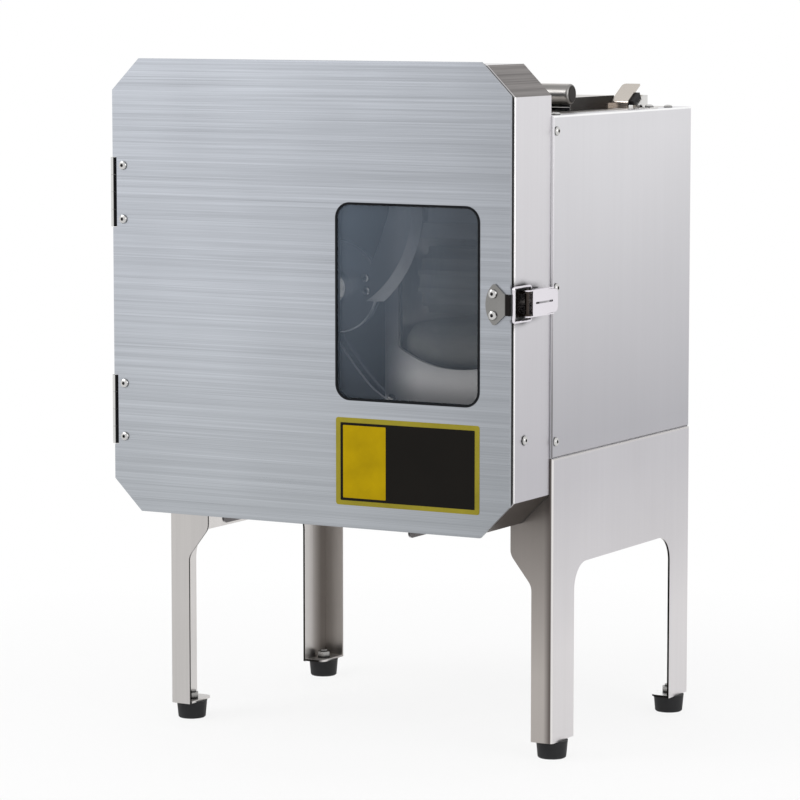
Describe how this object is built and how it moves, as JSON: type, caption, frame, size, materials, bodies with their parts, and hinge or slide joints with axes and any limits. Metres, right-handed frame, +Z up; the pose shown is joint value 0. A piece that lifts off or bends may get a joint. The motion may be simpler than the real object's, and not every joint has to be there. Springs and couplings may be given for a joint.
{
  "type": "vegetable cutting machine",
  "caption": "Bench-top vegetable cutting machine with a hinged front door and window over a spinning curved-knife rotor, a belt feed, a press roller and a four-leg sheet-steel stand",
  "frame": {"origin": "on the floor, under the middle of the whole machine's box", "axes": "+Z up; the door faces -Y; +X is to the right of someone who faces the door"},
  "size_m": [0.4446, 0.3878, 0.65],
  "materials": {
    "brushed_steel": "satin stainless, brushed sideways",
    "folded_steel": "satin stainless sheet, folded",
    "bright_steel": "polished stainless",
    "ground_steel": "ground blade steel with a polished bevel",
    "zinc_steel": "dull zinc-plated steel",
    "cast_aluminium": "cast and machined",
    "motor_paint": "satin grey-blue enamel",
    "black_rubber": "matt",
    "belt_rubber": "food-grade, finely textured",
    "window_sheet": "clear smoke-tinted sheet",
    "white_plastic": "machined food-grade plastic",
    "black_plastic": "satin",
    "red_plastic": "gloss",
    "green_plastic": "gloss"
  },
  "bodies": {
    "machine_frame": {"chamber_shell": "folded_steel", "chamber_back_wall": "folded_steel", "shear_plate": "bright_steel", "shear_plate_screws": "bright_steel", "chamber_hinge_leaves": "folded_steel", "door_hinge_pins": "bright_steel", "latch_base": "bright_steel", "side_panel_right": "brushed_steel", "side_panel_left": "brushed_steel", "stand_frame_right": "folded_steel", "stand_frame_left": "folded_steel", "rubber_feet": "black_rubber", "foot_bolts": "zinc_steel", "floor_plate": "folded_steel", "rear_panel": "brushed_steel", "power_inlet": "black_plastic", "drive_bay_cover": "brushed_steel", "channel_cover": "folded_steel", "lid_hinge_pin": "bright_steel", "lid_stop_pad": "black_rubber", "lid_stop_bracket": "bright_steel", "spindle_housing": "cast_aluminium", "spindle_bearings": "bright_steel", "body_screws": "bright_steel", "knife_motor": "motor_paint", "drive_belt": "black_rubber", "conveyor_walls": "folded_steel", "roller_bushes": "white_plastic", "feed_belt": "belt_rubber", "belt_bed": "folded_steel", "feed_gear_motor": "motor_paint", "press_pivot_shaft": "bright_steel", "press_springs": "zinc_steel", "control_plate": "black_plastic", "control_box": "black_plastic"},
    "door": {"door_plate": "brushed_steel", "window_pane": "window_sheet", "window_seal": "black_rubber", "door_seal": "black_rubber", "door_hinge_leaves": "folded_steel", "door_screws": "bright_steel", "latch_keeper": "bright_steel"},
    "latch_lever": {"latch_lever": "bright_steel"},
    "latch_bail": {"latch_bail": "bright_steel"},
    "knife_rotor": {"knife_spindle": "bright_steel", "knife_blades": "ground_steel", "knife_screws": "bright_steel", "knife_nose_nut": "bright_steel", "knife_pulley": "cast_aluminium"},
    "motor_rotor": {"motor_shaft": "bright_steel", "motor_pulley": "cast_aluminium"},
    "drive_roller": {"drive_roller": "bright_steel"},
    "front_roller": {"front_roller": "bright_steel"},
    "press_arm": {"press_arm": "bright_steel"},
    "press_roller": {"press_roller": "white_plastic"},
    "lid": {"feed_lid": "folded_steel", "lid_tab": "bright_steel"},
    "start_button": {"start_button": "green_plastic"},
    "stop_button": {"stop_button": "red_plastic"},
    "speed_knob": {"speed_knob": "black_plastic"}
  },
  "joints": [
    {"name": "door_hinge", "type": "hinge", "parent": "machine_frame", "child": "door", "pos_m": [-0.214, -0.18535, 0.419], "axis": [0, 0, -1], "range_deg": [0, 170]},
    {"name": "latch_lever_pivot", "type": "hinge", "parent": "machine_frame", "child": "latch_lever", "pos_m": [0.2181, -0.16735, 0.4325], "axis": [0, 0, -1], "range_deg": [0, 150]},
    {"name": "latch_bail_pivot", "type": "hinge", "parent": "latch_lever", "child": "latch_bail", "pos_m": [0.2166, -0.15735, 0.4325], "axis": [0, 0, -1], "range_deg": [-150, 0]},
    {"name": "knife_spin", "type": "hinge", "parent": "machine_frame", "child": "knife_rotor", "pos_m": [-0.0009, -0.13285, 0.437], "axis": [0, 1, 0], "continuous": true},
    {"name": "motor_spin", "type": "hinge", "parent": "machine_frame", "child": "motor_rotor", "pos_m": [-0.1259, 0.01065, 0.3589], "axis": [0, 1, 0], "continuous": true},
    {"name": "drive_roller_spin", "type": "hinge", "parent": "machine_frame", "child": "drive_roller", "pos_m": [0.1271, 0.15065, 0.3835], "axis": [1, 0, 0], "continuous": true},
    {"name": "front_roller_spin", "type": "hinge", "parent": "machine_frame", "child": "front_roller", "pos_m": [0.1271, -0.09935, 0.3835], "axis": [1, 0, 0], "continuous": true},
    {"name": "press_arm_pivot", "type": "hinge", "parent": "machine_frame", "child": "press_arm", "pos_m": [0.1271, 0.05065, 0.474], "axis": [-1, 0, 0], "range_deg": [0, 22], "stiffness_Nm_per_rad": 3, "springref_deg": -28.65},
    {"name": "press_roller_spin", "type": "hinge", "parent": "press_arm", "child": "press_roller", "pos_m": [0.1271, -0.07735, 0.4435], "axis": [1, 0, 0], "continuous": true},
    {"name": "lid_hinge", "type": "hinge", "parent": "machine_frame", "child": "lid", "pos_m": [0.1271, 0.00065, 0.6165], "axis": [1, 0, 0], "range_deg": [0, 105]},
    {"name": "start_button_press", "type": "slide", "parent": "machine_frame", "child": "start_button", "axis": [1, 0, 0], "range_m": [0, 0.003], "stiffness_N_per_m": 600, "springref_m": -0.002},
    {"name": "stop_button_press", "type": "slide", "parent": "machine_frame", "child": "stop_button", "axis": [1, 0, 0], "range_m": [0, 0.003], "stiffness_N_per_m": 600, "springref_m": -0.002},
    {"name": "speed_knob_turn", "type": "hinge", "parent": "machine_frame", "child": "speed_knob", "pos_m": [-0.2033, -0.03935, 0.552], "axis": [1, 0, 0], "range_deg": [-140, 140]}
  ],
  "couplings": [
    {"joint": "latch_bail_pivot", "follows": "latch_lever_pivot", "ratio": -1},
    {"joint": "motor_spin", "follows": "knife_spin", "ratio": 1.7857},
    {"joint": "front_roller_spin", "follows": "drive_roller_spin", "ratio": 1}
  ]
}
